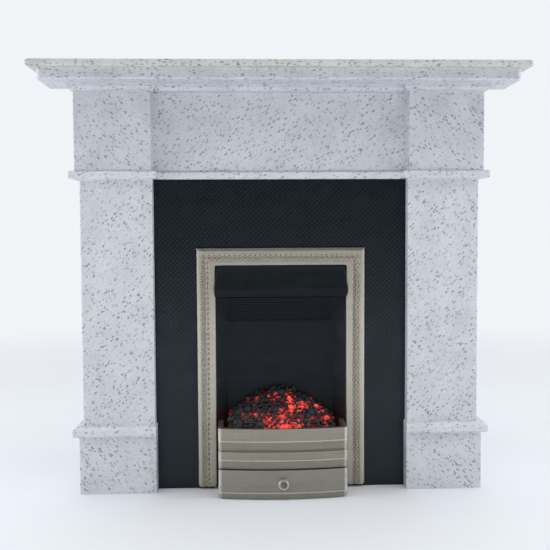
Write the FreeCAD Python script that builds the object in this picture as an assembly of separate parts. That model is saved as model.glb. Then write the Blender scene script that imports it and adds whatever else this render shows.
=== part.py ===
import FreeCAD, Part
import os, math, random
from FreeCAD import Vector as V

# Miniature fireplace mantel, 1:12 scale, with a battery lit coal fire.
# Millimetres. X is the width, the front faces -Y, Z is up.
# "q" below is the distance in front of the face of the black back panel.
os.makedirs("parts", exist_ok=True)

# ---------------------------------------------------------------- dimensions
SLAB_W = 115.0          # overall width of the shelf
SLAB_F = 12.7           # shelf front edge, in front of the back panel
BACK = -6.9             # plane that stands against the wall
Q0 = (SLAB_F + BACK) / 2.0
SLAB_Z0, SLAB_Z1 = 100.3, 101.9
SLAB_R = 0.72
FASCIA_W, FASCIA_F, FASCIA_Z0 = 55.7, 10.2, 97.8
MOULD_BACK = -2.5
BED_W, BED_F, BED_FC, BED_Z0 = 49.9, 5.2, 3.8, 96.33
BED_BREAK = 29.5
CAP_W, CAP_IN, CAP_F = 48.84, 30.8, 3.7
FRIEZE_F = 0.0
AST_W, AST_IN, AST_F, AST_FC = 50.0, 29.5, 4.5, 0.95
AST_Z0, AST_Z1 = 75.75, 77.55
SH_W, SH_IN, SH_F = 47.85, 30.65, 2.75
CAPM_W, CAPM_F, CAPM_Z0, CAPM_Z1 = 50.2, 4.3, 13.95, 16.45
PL_W, PL_IN, PL_F = 48.85, 30.35, 3.4
PANEL_T = 1.6
OPEN_W, OPEN_Z = 16.75, 56.3       # hole in the back panel
FR_W, FR_IN = 20.4, 15.9           # trim frame, half widths
FR_Z0, FR_Z1, FR_ZI = 0.6, 59.15, 54.86
FR_T = 1.25
FBX_F, FBX_B, FBX_D = 15.95, 13.2, 4.6   # firebox half widths and depth
BEND_Z = 40.5
WALL = 0.8
BK_W, BK_CF, BK_BF = 15.34, 8.57, 9.97   # basket half width, corner and bow
BK_TOP, BK_T = 16.85, 1.14
GRATE_Z0, GRATE_Z1 = 7.25, 8.05
DR_TOP, DR_BOT = 7.05, 0.12
KNOB_Z, KNOB_R = 3.93, 1.33
COVER_T = 0.9
CELL_Z, CELL_R, CELL_T = 72.0, 10.0, 3.2


def y(q):
    return Q0 - q


def box(x0, x1, q0, q1, z0, z1):
    return Part.makeBox(x1 - x0, q1 - q0, z1 - z0, V(x0, y(q1), z0))


def prism_xy(pts, z0, z1):
    """Closed outline in (x, q), extruded from z0 to z1."""
    w = Part.makePolygon([V(a, y(b), z0) for a, b in pts + pts[:1]])
    return Part.Face(w).extrude(V(0, 0, z1 - z0))


def prism_qz(pts, x0, x1):
    """Closed outline in (q, z), extruded along x."""
    w = Part.makePolygon([V(x0, y(a), b) for a, b in pts + pts[:1]])
    return Part.Face(w).extrude(V(x1 - x0, 0, 0))


def cyl_q(x, z, r, q0, q1):
    return Part.makeCylinder(r, q1 - q0, V(x, y(q1), z), V(0, 1, 0))


def edges_where(shape, test):
    out = []
    for e in shape.Edges:
        bb = e.BoundBox
        if test(e, bb):
            out.append(e)
    return out


def soft(shape, r, test):
    es = edges_where(shape, test)
    if not es:
        return shape
    try:
        s = shape.makeFillet(r, es)
        if s.isValid() and s.Volume > 0:
            return s
    except Exception:
        pass
    return shape


def mirror_x(s):
    m = s.mirror(V(0, 0, 0), V(1, 0, 0))
    return m


PARTS = {}


def put(name, s):
    PARTS[name] = s


# ------------------------------------------------------------ marble surround
slab = box(-SLAB_W / 2, SLAB_W / 2, BACK, SLAB_F, SLAB_Z0, SLAB_Z1)
slab = soft(slab, 0.85, lambda e, b: b.ZLength > 1 and b.YMax < 0)
slab = soft(slab, SLAB_R, lambda e, b: b.ZLength < 0.01 and (
    (b.XLength < 1.5 and abs(b.XMax) > 56) or (b.YMin < y(SLAB_F) + 1.2) or
    (b.XLength < 1.5 and abs(b.XMin) > 56)) and not (b.YMin > y(BACK) - 0.01))
put("shelf_slab", slab)

fas = box(-FASCIA_W, FASCIA_W, MOULD_BACK, FASCIA_F, FASCIA_Z0, SLAB_Z0)
fas = soft(fas, 1.35, lambda e, b: b.ZLength > 1 and b.YMax < y(FASCIA_F) + 0.1)
fas = soft(fas, 0.45, lambda e, b: b.ZLength < 0.01 and b.ZMax < FASCIA_Z0 + 0.01 and
           b.YMin < y(MOULD_BACK) - 0.05)
put("cornice_fascia", fas)

def front_edges(x_out, qf, zz, x_in=None):
    """Edges of a moulding at height zz along its front, outer end and inner return."""
    def t(e, b):
        if b.ZLength > 0.01 or abs(b.ZMin - zz) > 0.01:
            return False
        if b.YLength < 0.01 and abs(b.YMin - y(qf)) < 0.01:
            return True
        if b.XLength < 0.01 and abs(abs(b.XMin) - x_out) < 0.01:
            return True
        return x_in is not None and b.XLength < 0.01 and abs(abs(b.XMin) - x_in) < 0.01
    return t


bm = box(BED_BREAK, BED_W, MOULD_BACK, BED_F, BED_Z0, FASCIA_Z0)
bm = soft(bm, 0.95, front_edges(BED_W, BED_F, BED_Z0, BED_BREAK))
put("right_bed_mould", bm)
put("left_bed_mould", mirror_x(bm))
bc = box(-BED_BREAK, BED_BREAK, MOULD_BACK, BED_FC, BED_Z0, FASCIA_Z0)
bc = soft(bc, 0.95, front_edges(99, BED_FC, BED_Z0))
put("centre_bed_mould", bc)

put("rear_top_rail", box(-CAP_W, CAP_W, BACK, MOULD_BACK - 0.0, BED_Z0, SLAB_Z0))

frz = box(-CAP_IN, CAP_IN, -PANEL_T, FRIEZE_F, AST_Z1, BED_Z0)
for sx in (-1, 1):
    frz = frz.fuse(cyl_q(sx * 27.0, 91.5, 1.7, BACK + COVER_T, -PANEL_T + 0.1))
    frz = frz.cut(cyl_q(sx * 27.0, 91.5, 0.55, BACK, -2.2))
put("frieze_panel", frz)

capb = box(CAP_IN, CAP_W, BACK, CAP_F, AST_Z1, BED_Z0)
capb = soft(capb, 0.3, lambda e, b: b.ZLength > 1 and b.YMax < y(CAP_F) + 0.1)
put("right_capital_block", capb)
put("left_capital_block", mirror_x(capb))

am = prism_xy([(AST_IN, -PANEL_T), (AST_IN, AST_F), (AST_W, AST_F), (AST_W, BACK), (CAP_IN, BACK),
               (CAP_IN, -PANEL_T)], AST_Z0, AST_Z1)
am = soft(am, 0.42, front_edges(AST_W, AST_F, AST_Z0, AST_IN))
am = soft(am, 0.42, front_edges(AST_W, AST_F, AST_Z1, AST_IN))
put("right_astragal", am)
put("left_astragal", mirror_x(am))
ac = box(-AST_IN, AST_IN, -PANEL_T, AST_FC, AST_Z0, AST_Z1)
ac = soft(ac, 0.42, front_edges(99, AST_FC, AST_Z0))
ac = soft(ac, 0.42, front_edges(99, AST_FC, AST_Z1))
put("centre_astragal", ac)

sh = box(SH_IN, SH_W, BACK, SH_F, CAPM_Z1, AST_Z0)
sh = soft(sh, 0.3, lambda e, b: b.ZLength > 1 and b.YMax < y(SH_F) + 0.1)
put("right_pilaster_shaft", sh)
put("left_pilaster_shaft", mirror_x(sh))

cm = box(PL_IN, CAPM_W, BACK, CAPM_F, CAPM_Z0, CAPM_Z1)
cm = soft(cm, 1.15, lambda e, b: b.ZLength < 0.01 and b.ZMin > CAPM_Z1 - 0.01 and
          ((b.YLength < 0.01 and b.YMax < y(CAPM_F) + 0.1) or
           (b.XLength < 0.01 and b.XMin > CAPM_W - 0.1)))
cm = soft(cm, 0.5, lambda e, b: b.ZLength < 0.01 and b.ZMax < CAPM_Z0 + 0.01 and
          ((b.YLength < 0.01 and b.YMax < y(CAPM_F) + 0.1) or
           (b.XLength < 0.01 and b.XMin > CAPM_W - 0.1)))
put("right_plinth_cap", cm)
put("left_plinth_cap", mirror_x(cm))

pb = box(PL_IN, PL_W, BACK, PL_F, 0, CAPM_Z0)
pb = soft(pb, 0.3, lambda e, b: b.ZLength > 1 and b.YMax < y(PL_F) + 0.1)
put("right_plinth_block", pb)
put("left_plinth_block", mirror_x(pb))

# ------------------------------------------------------------ back panel, trim
pan = box(-PL_IN, PL_IN, -PANEL_T, 0, 0, AST_Z0)
pan = pan.fuse([box(-SH_IN, -PL_IN, -PANEL_T, 0, CAPM_Z1, AST_Z0),
                box(PL_IN, SH_IN, -PANEL_T, 0, CAPM_Z1, AST_Z0)]).removeSplitter()
pan = pan.cut(box(-OPEN_W, OPEN_W, -3, 1, -1, OPEN_Z))
for sx in (-1, 1):
    pan = pan.fuse(cyl_q(sx * 27.0, 7.0, 1.7, BACK + COVER_T, -PANEL_T + 0.1))
    pan = pan.cut(cyl_q(sx * 27.0, 7.0, 0.55, BACK, -2.2))
put("back_panel", pan.removeSplitter())

fr = box(-FR_W, FR_W, 0, FR_T, FR_Z0, FR_Z1).cut(box(-FR_IN, FR_IN, -1, 3, -1, FR_ZI))
b0, b1 = 17.45, 19.15
rec = box(-b1, b1, FR_T - 0.22, 3, FR_Z0 + 1.0, FR_Z1 - (FR_W - b1)).cut(
    box(-b0, b0, -1, 4, -1, FR_Z1 - (FR_W - b0)))


def chamf(shape, d, test):
    es = edges_where(shape, test)
    try:
        s = shape.makeChamfer(d, es)
        if s.isValid():
            return s
    except Exception:
        pass
    return shape


# the four bottom corners of the legs are rounded
fr = fr.makeFillet(0.7, edges_where(fr, lambda e, b: b.ZMax < FR_Z0 + 0.01 and b.XLength < 0.01))
fr = chamf(fr, 0.5, lambda e, b: b.YMax < y(FR_T) + 0.01 and b.ZMin > FR_Z1 - 0.01)
fr = chamf(fr, 0.18, lambda e, b: b.YMax < y(FR_T) + 0.01 and b.XLength < 0.01 and
           abs(b.XMin) > FR_W - 0.01)
fr = fr.cut(rec)
put("trim_frame", fr)

# ------------------------------------------------------------------- firebox
e = 0.7
plan_in = [(-FBX_F, 0.0), (-FBX_B, -FBX_D), (-FBX_B, -FBX_D - WALL), (FBX_B, -FBX_D - WALL),
           (FBX_B, -FBX_D), (FBX_F, 0.0)]
pin = prism_xy(plan_in, -1, 60)
cheek = prism_xy([(FBX_F, 0.0), (FBX_F + e, 0.0), (FBX_F + e, -0.4), (FBX_B + e, -FBX_D - WALL),
                  (FBX_B, -FBX_D - WALL), (FBX_B, -FBX_D)], 0.3, 56.2)
cheek = cheek.cut(Part.makeCylinder(0.45, 8, V(12, y(-3.2), 9.9), V(1, 0, 0)))
put("firebox_right_cheek", cheek)
put("firebox_left_cheek", mirror_x(cheek))
fb = prism_qz([(-FBX_D, 0.3), (-FBX_D, BEND_Z), (0, 53.5), (0, 56.2), (-0.9, 56.2),
               (-FBX_D - WALL, BEND_Z + 0.25), (-FBX_D - WALL, 0.3)], -20, 20).common(pin)
# shallow horizontal ribs of the leaning upper part
dq, dz = FBX_D, 53.5 - BEND_Z
L = math.hypot(dq, dz)
for i in range(1, 23):
    t = i / 23.0
    c = V(0, y(-FBX_D + dq * t), BEND_Z + dz * t)
    g = Part.makeBox(26.0, 0.15, 0.15, V(-13.0, -0.075, -0.075))
    g.rotate(V(0, 0, 0), V(1, 0, 0), 45)
    g.translate(c)
    fb = fb.cut(g)
put("fireback", fb)


def rect_wire(hw, qb, qf, z, r):
    """Rounded-front outline used by the hood, straight at the back."""
    p = [V(-hw, y(qb), z), V(-hw, y(qf - r), z), V(-hw + r, y(qf), z), V(hw - r, y(qf), z),
         V(hw, y(qf - r), z), V(hw, y(qb), z)]
    k = r * (1 - math.sqrt(0.5))
    m1 = V(-hw + k, y(qf - k), z)
    m2 = V(hw - k, y(qf - k), z)
    es = [Part.makeLine(p[0], p[1]), Part.Arc(p[1], m1, p[2]).toShape(), Part.makeLine(p[2], p[3]),
          Part.Arc(p[3], m2, p[4]).toShape(), Part.makeLine(p[4], p[5]), Part.makeLine(p[5], p[0])]
    return Part.Wire(es)


hs = [(15.50, 1.75, 54.80), (15.62, 2.25, 53.6), (15.90, 2.95, 51.4), (16.18, 3.55, 49.4),
      (16.12, 3.60, 48.3), (15.85, 3.15, 47.45), (15.45, 2.55, 47.10)]
hood = Part.makeLoft([rect_wire(a, FR_T + 0.03, b, c, min(0.45, (b - FR_T) * 0.6))
                      for a, b, c in hs], True, True)
hood = hood.fuse(box(-15.45, 15.45, 0.0, FR_T + 0.03, 47.10, 54.80))
hood = hood.cut(prism_qz([(0.75, 46.0), (2.3, 46.0), (2.35, 49.5), (1.0, 53.0), (0.75, 53.0)],
                         -14.6, 14.6))
put("fire_hood", hood)


# -------------------------------------------------------------------- basket
def bow(d, z, qb=-0.5, r=0.8, side=None):
    """Bow-fronted outline in plan, moved in by d at the front and by side at the ends."""
    side = d if side is None else side
    hw, qc, qm = BK_W - side, BK_CF - d, BK_BF - d
    r = max(0.3, r - side * 0.5)
    # circle through the two corners and the middle of the bow
    s = qm - qc
    R = (hw * hw + s * s) / (2 * s)
    cq = qm - R

    def on(x):
        return cq + math.sqrt(R * R - x * x)
    xa = hw - r
    a = [V(-hw, y(qb), z), V(-hw, y(qc - r), z), V(-xa, y(on(xa)), z), V(xa, y(on(xa)), z),
         V(hw, y(qc - r), z), V(hw, y(qb), z)]
    k = r * (1 - math.sqrt(0.5)) * 0.92
    m1 = V(-hw + k, y(on(xa) - (r + on(xa) - qc) * 0.30 * 1.0), z)
    m2 = V(hw - k, y(on(xa) - (r + on(xa) - qc) * 0.30 * 1.0), z)
    es = [Part.makeLine(a[0], a[1]), Part.Arc(a[1], m1, a[2]).toShape(),
          Part.Arc(a[2], V(0, y(qm), z), a[3]).toShape(),
          Part.Arc(a[3], m2, a[4]).toShape(), Part.makeLine(a[4], a[5]), Part.makeLine(a[5], a[0])]
    return Part.Wire(es)


def bow_block(d, z0, z1, qb=-0.5, side=None):
    return Part.Face(bow(d, z0, qb, side=side)).extrude(V(0, 0, z1 - z0))


def bow_taper(d0, z0, d1, z1, qb=-0.5, side=0.0):
    return Part.makeLoft([bow(d0, z0, qb, side=side), bow(d1, z1, qb, side=0.0)], True, True)


bk = bow_block(0, 13.85, BK_TOP)
bk = bk.fuse([bow_taper(0.5, 11.55, 0.03, 13.85), bow_block(0.55, 11.30, 11.55, side=0.12),
              bow_block(0, 9.35, 11.35), bow_taper(0.5, GRATE_Z0, 0.03, 9.35),
             bow_block(-0.07, 13.78, 13.92, side=0.0), bow_block(-0.07, 9.28, 9.42, side=0.0)])
bk = bk.cut(bow_block(BK_T, GRATE_Z1, 30, qb=-2))
grate = box(-12.7, 12.7, -4.3, 0.2, GRATE_Z0, GRATE_Z1)
legs = [box(-BK_W, -BK_W + BK_T, -0.5, 6.95, 0, GRATE_Z0 + 0.3),
        box(BK_W - BK_T, BK_W, -0.5, 6.95, 0, GRATE_Z0 + 0.3)]
bk = bk.fuse([grate] + legs)
put("fire_basket", bk)

df = bow_block(0, 1.62, DR_TOP, 5).fuse([bow_taper(0.45, DR_BOT, 0.02, 1.62, 5, 0.3),
                                         bow_block(-0.06, 1.56, 1.69, 5, side=0.0)])
df = df.common(box(-20, 20, 7.15, 12, 0, 8))
tray = box(-13.6, 13.6, -2.9, 7.3, 0.3, 5.2).cut(box(-12.95, 12.95, -2.25, 7.15, 0.95, 6))
dr = df.fuse(tray).removeSplitter()
dr = dr.cut(cyl_q(0, KNOB_Z, 0.6, 9.0, 12))
put("ash_drawer", dr)

# turned knob with a dished face
kp = [(0, 9.0), (0.6, 9.0), (0.6, 10.05), (0.75, 10.12), (1.15, 10.2), (KNOB_R, 10.45),
      (KNOB_R, 10.75), (1.2, 11.0), (0.95, 11.1), (0.72, 11.02), (0.6, 10.85), (0, 10.8)]
kw = Part.makePolygon([V(a, y(b), KNOB_Z) for a, b in kp + kp[:1]])
knob = Part.Face(kw).revolve(V(0, 0, KNOB_Z), V(0, 1, 0), 360)
put("ash_drawer_knob", knob)

# --------------------------------------------------------- embers and coals
rnd = random.Random(12)
NX, NQ = 19, 11
XH, QB, QF = 13.2, -4.2, 8.25


def mound(x, q):
    t = (q - QB) / (QF - QB)
    top = 24.3 - 6.1 * (abs(x + 0.4) / 12.0) ** 1.55
    drop = (t ** 1.5) * (7.4 - 4.0 * (abs(x) / XH) ** 2)
    return max(13.4, top - drop)


def front_limit(x):
    hw = BK_W - BK_T
    s = BK_BF - BK_CF
    R = (BK_W ** 2 + s * s) / (2 * s)
    return BK_BF - BK_T - R + math.sqrt(R * R - x * x) - 0.22


gx = [-XH + 2 * XH * i / (NX - 1) for i in range(NX)]


def gq(x, j):
    return QB + (front_limit(x) - QB) * j / (NQ - 1)


def poly_solid(top, bot):
    faces = []

    def tri(a, b, c):
        faces.append(Part.Face(Part.makePolygon([a, b, c, a])))
    for i in range(NX - 1):
        for j in range(NQ - 1):
            a, b, c, d = top[i][j], top[i + 1][j], top[i + 1][j + 1], top[i][j + 1]
            tri(a, b, c)
            tri(a, c, d)
            a, b, c, d = bot[i][j], bot[i + 1][j], bot[i + 1][j + 1], bot[i][j + 1]
            tri(a, c, b)
            tri(a, d, c)
    ring = [(i, 0) for i in range(NX)] + [(NX - 1, j) for j in range(1, NQ)] + \
           [(i, NQ - 1) for i in range(NX - 2, -1, -1)] + [(0, j) for j in range(NQ - 2, 0, -1)]
    for k in range(len(ring)):
        i, j = ring[k]
        m, n = ring[(k + 1) % len(ring)]
        tri(top[i][j], bot[i][j], bot[m][n])
        tri(top[i][j], bot[m][n], top[m][n])
    sh_ = Part.makeShell(faces)
    sh_.sewShape()
    s = Part.makeSolid(sh_)
    if s.Volume < 0:
        s.reverse()
    return s


ember_top = [[V(x, y(gq(x, j)), mound(x, gq(x, j)) - 1.9) for j in range(NQ)] for x in gx]
coal_bot = [[V(x, y(gq(x, j)), mound(x, gq(x, j)) - 1.88) for j in range(NQ)] for x in gx]
coal_top = []
for i, x in enumerate(gx):
    row = []
    for j in range(NQ):
        q = gq(x, j)
        edge = 0.0 if i in (0, NX - 1) or j in (0, NQ - 1) else 1.0
        row.append(V(x, y(q), mound(x, q) + (rnd.uniform(-0.75, 1.55)) * edge - 0.3 * (1 - edge)))
    coal_top.append(row)
put("coal_bed", poly_solid(coal_top, coal_bot))
EB = 9.35
ember_bot = [[V(x, y(gq(x, j)), EB) for j in range(NQ)] for x in gx]
emb = poly_solid(ember_top, ember_bot)
LEDX, LEDQ = 5.6, 1.6
for sx in (-1, 1):
    emb = emb.cut(Part.makeCylinder(1.75, 5.2, V(sx * LEDX, y(LEDQ), EB - 0.1)))
emb = emb.cut(box(-1.6, 1.6, -1.2, 0.6, EB - 0.1, EB + 0.8))
for sx in (-1, 1):
    emb = emb.cut(box(min(sx * 10.4, sx * 14), max(sx * 10.4, sx * 14), -3.9, -2.5, EB - 0.1, EB + 1.3))
put("ember_bed", emb)

# ------------------------------------------------------------------- lighting
bd = box(-12.6, 12.6, -4.05, 4.2, GRATE_Z1 + 0.3, GRATE_Z1 + 1.1)
for x_, q_ in ((-11.4, 3.2), (11.4, 3.2), (-11.4, -1.2), (11.4, -1.2)):
    bd = bd.fuse(Part.makeCylinder(0.8, 0.3, V(x_, y(q_), GRATE_Z1)))
put("led_board", bd)
BT = GRATE_Z1 + 1.1
for nm, sx in (("left_led", -1), ("right_led", 1)):
    c = V(sx * LEDX, y(LEDQ), BT)
    s = Part.makeCylinder(1.6, 0.6, c).fuse(Part.makeCylinder(1.45, 2.6, c))
    s = s.fuse(Part.makeSphere(1.45, V(c.x, c.y, BT + 2.6)).common(
        Part.makeBox(4, 4, 3, V(c.x - 2, c.y - 2, BT + 2.6))))
    put(nm, s.removeSplitter())
put("led_resistor", box(-1.0, 1.0, -0.8, 0.2, BT, BT + 0.6))


def lead(pts, r):
    s = None
    P = [V(a, y(b), c) for a, b, c in pts]
    for a, b in zip(P, P[1:]):
        d = b.sub(a)
        c = Part.makeCylinder(r, d.Length, a, d)
        s = c if s is None else s.fuse(c)
    for a in P[1:-1]:
        s = s.fuse(Part.makeSphere(r, a))
    return s.removeSplitter()


LR = 0.26
LZ = BT + 0.75
SWX0, SWX1, SWZ0, SWZ1 = 16.0, 24.6, 64.0, 67.8
put("lead_positive", lead([(11.2, -3.2, BT), (11.2, -3.2, LZ), (18.6, -3.2, LZ),
                           (18.6, -3.2, 57.0), (18.6, -3.2, SWZ0)], LR))
put("lead_negative", lead([(-11.2, -3.2, BT), (-11.2, -3.2, LZ), (-18.6, -3.2, LZ),
                           (-18.6, -3.2, 72.0), (-13.5, -2.37, 72.0)], LR))
put("lead_switch", lead([(11.62, -3.4, 72.0), (22.0, -3.4, 72.0), (22.0, -3.4, SWZ1)], LR))

H1 = BACK + COVER_T + 0.35
hold = cyl_q(0, CELL_Z, 11.9, H1, -PANEL_T).cut(cyl_q(0, CELL_Z, CELL_R + 0.12, H1 - 1, -2.15 + 0.03))
hold = hold.cut(cyl_q(0, CELL_Z, 6.5, -3, 0))
hold = hold.cut(box(-14, -3, -2.12, -1.0, 70.4, 73.6))
hold = hold.cut(box(9, 14, -4.6, -2.12, 70.0, 74.0))
hold = hold.cut(box(-14, -9, -4.6, -2.12, 70.6, 73.4))
hold = hold.cut(box(-3.2, 3.2, H1 - 1, -3.4, 58, 63))
put("battery_holder", hold)
cell = cyl_q(0, CELL_Z, CELL_R, -5.35, -2.75).fuse(cyl_q(0, CELL_Z, CELL_R - 1.3, -5.35 + CELL_T - 0.6, -2.15))
cell = cyl_q(0, CELL_Z, CELL_R, -5.35, -2.45).fuse(cyl_q(0, CELL_Z, CELL_R - 1.25, -2.5, -2.15)).removeSplitter()
put("coin_cell", cell)
cmn = box(-13.0, 5.0, -2.12, -1.9, 71.0, 73.0).fuse(box(-13.4, -12.2, -2.12, -PANEL_T, 70.6, 73.4))
put("contact_minus", cmn)
cpl = box(CELL_R + 0.01, CELL_R + 0.26, -4.4, -2.3, 70.3, 73.7).fuse(
    box(CELL_R + 0.01, 11.6, -4.5, -4.25, 70.3, 73.7)).fuse(box(11.35, 11.6, -4.5, -2.3, 70.8, 73.2))
put("contact_plus", cpl)

sb = box(SWX0, SWX1, -5.7, -PANEL_T, SWZ0, SWZ1)
sb = sb.cut(box(SWX0 + 1.7, SWX1 - 1.7, -6, -4.3, SWZ0 + 1.0, SWZ1 - 1.0))
put("switch_body", sb)
SL0 = SWX0 + 1.7 + 0.2
put("switch_slider", box(SL0, SL0 + 2.4, -5.6, -4.45, SWZ0 + 1.12, SWZ1 - 1.12).fuse(
    box(SL0 + 0.4, SL0 + 2.0, -6.8, -5.6, SWZ0 + 1.3, SWZ1 - 1.3)).removeSplitter())

# ------------------------------------------------------------------ rear cover
C0, C1 = BACK, BACK + COVER_T
cov = box(-PL_IN + 0.15, PL_IN - 0.15, C0, C1, 0.4, BED_Z0 - 0.1)
cov = cov.cut(box(-11.9, 11.9, C0 - 1, C1 + 1, CELL_Z - 11.9, CELL_Z + 11.9))
cov = cov.cut(box(-12.75, 12.75, C0 - 1, C0 + 0.6, CELL_Z - 12.75, CELL_Z + 12.75))
cov = cov.cut(box(SL0 + 0.1, SL0 + 4.5, C0 - 1, C1 + 1, SWZ0 + 1.05, SWZ1 - 1.05))
for x_, z_ in ((-27, 7), (27, 7), (-27, 91.5), (27, 91.5)):
    cov = cov.cut(cyl_q(x_, z_, 0.75, C0 - 1, C1 + 1))
    cov = cov.cut(Part.makeCone(1.5, 0.75, 0.7, V(x_, y(C0), z_), V(0, -1, 0)))
for i in range(7):
    zz = 20 + i * 4.0
    cov = cov.cut(box(-24, -19, C0 - 1, C1 + 1, zz, zz + 1.2)).cut(box(19.5, 24.5, C0 - 1, C1 + 1, zz, zz + 1.2))
put("rear_cover", cov)
dor = box(-12.6, 12.6, C0, C0 + 0.5, CELL_Z - 12.6, CELL_Z + 12.6)
dor = soft(dor, 0.6, lambda e, b: b.YLength > 0.3 and b.XLength < 0.01 and b.ZLength < 0.01)
dor = dor.cut(Part.makeCylinder(3.0, 0.4, V(0, y(C0) + 0.1, CELL_Z - 12.6 - 0.9), V(0, -1, 0)))
for i in range(5):
    dor = dor.cut(box(-4, 4, C0 - 1, C0 + 0.2, CELL_Z + 6 + i * 1.0, CELL_Z + 6.45 + i * 1.0))
put("battery_door", dor)
scr = []
for x_, z_ in ((-27, 7), (27, 7), (-27, 91.5), (27, 91.5)):
    s = Part.makeCone(1.42, 0.5, 0.68, V(x_, y(C0) - 0.02, z_), V(0, -1, 0))
    s = s.fuse(cyl_q(x_, z_, 0.5, C0 + 0.5, -2.4))
    s = s.cut(box(x_ - 1.1, x_ + 1.1, C0 - 0.2, C0 + 0.28, z_ - 0.16, z_ + 0.16))
    s = s.cut(box(x_ - 0.16, x_ + 0.16, C0 - 0.2, C0 + 0.28, z_ - 1.1, z_ + 1.1))
    scr.append(s)
put("cover_screws", Part.makeCompound(scr))

# --------------------------------------------------------------------- export
for n, s in PARTS.items():
    if not s.isValid():
        s = s.copy()
        s.fix(1e-5, 1e-6, 1e-4)
        print("FIXED", n, s.isValid())
    s.exportStep("parts/%s.step" % n)
    b = s.BoundBox
    print("%-22s sol %d vol %8.2f  x %.2f %.2f y %.2f %.2f z %.2f %.2f %s" % (
        n, len(s.Solids), s.Volume, b.XMin, b.XMax, b.YMin, b.YMax, b.ZMin, b.ZMax,
        "" if s.isValid() else "INVALID"))
print(len(PARTS), "parts")
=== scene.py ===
import math
import random

import bpy
import bmesh
import numpy as np
from mathutils import Matrix, Vector, noise


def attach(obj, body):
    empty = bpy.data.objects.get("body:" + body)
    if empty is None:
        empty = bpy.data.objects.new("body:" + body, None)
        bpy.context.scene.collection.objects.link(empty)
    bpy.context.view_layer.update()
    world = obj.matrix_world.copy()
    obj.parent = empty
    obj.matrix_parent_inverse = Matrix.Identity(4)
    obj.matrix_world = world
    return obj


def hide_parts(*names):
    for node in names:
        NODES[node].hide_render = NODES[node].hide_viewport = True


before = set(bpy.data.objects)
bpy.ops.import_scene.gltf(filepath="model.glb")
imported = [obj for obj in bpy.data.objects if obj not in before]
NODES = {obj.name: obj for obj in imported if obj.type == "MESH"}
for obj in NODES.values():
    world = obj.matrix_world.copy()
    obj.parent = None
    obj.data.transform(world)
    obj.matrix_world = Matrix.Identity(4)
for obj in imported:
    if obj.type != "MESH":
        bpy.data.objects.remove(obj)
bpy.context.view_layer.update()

MM = 0.001
FACE = 2.9                      # Y of the panel's front face, mm; q is measured forward from it


# ---------------------------------------------------------------- camera
yaw, pitch, roll = -0.036, -0.05506, -0.005166
cyw, syw = math.cos(yaw), math.sin(yaw)
cp, sp = math.cos(pitch), math.sin(pitch)
cr, sr = math.cos(roll), math.sin(roll)
fwd = Vector((-cp * syw, cp * cyw, sp))
up0 = Vector((sp * syw, -sp * cyw, cp))
right0 = Vector((cyw, syw, 0))
right = cr * right0 + sr * up0
up = -sr * right0 + cr * up0
cam = bpy.data.objects.new("camera", bpy.data.cameras.new("camera"))
bpy.context.scene.collection.objects.link(cam)
m = Matrix((right, up, -fwd)).transposed().to_4x4()
m.translation = Vector((-8.231, FACE - 190.0, 62.992)) * MM
cam.matrix_world = m
cam.data.sensor_width = 36
cam.data.lens = 779.93 * 36 / 550
cam.data.clip_start, cam.data.clip_end = 0.005, 20
bpy.context.scene.camera = cam
bpy.context.scene.view_settings.view_transform = "Standard"


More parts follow.
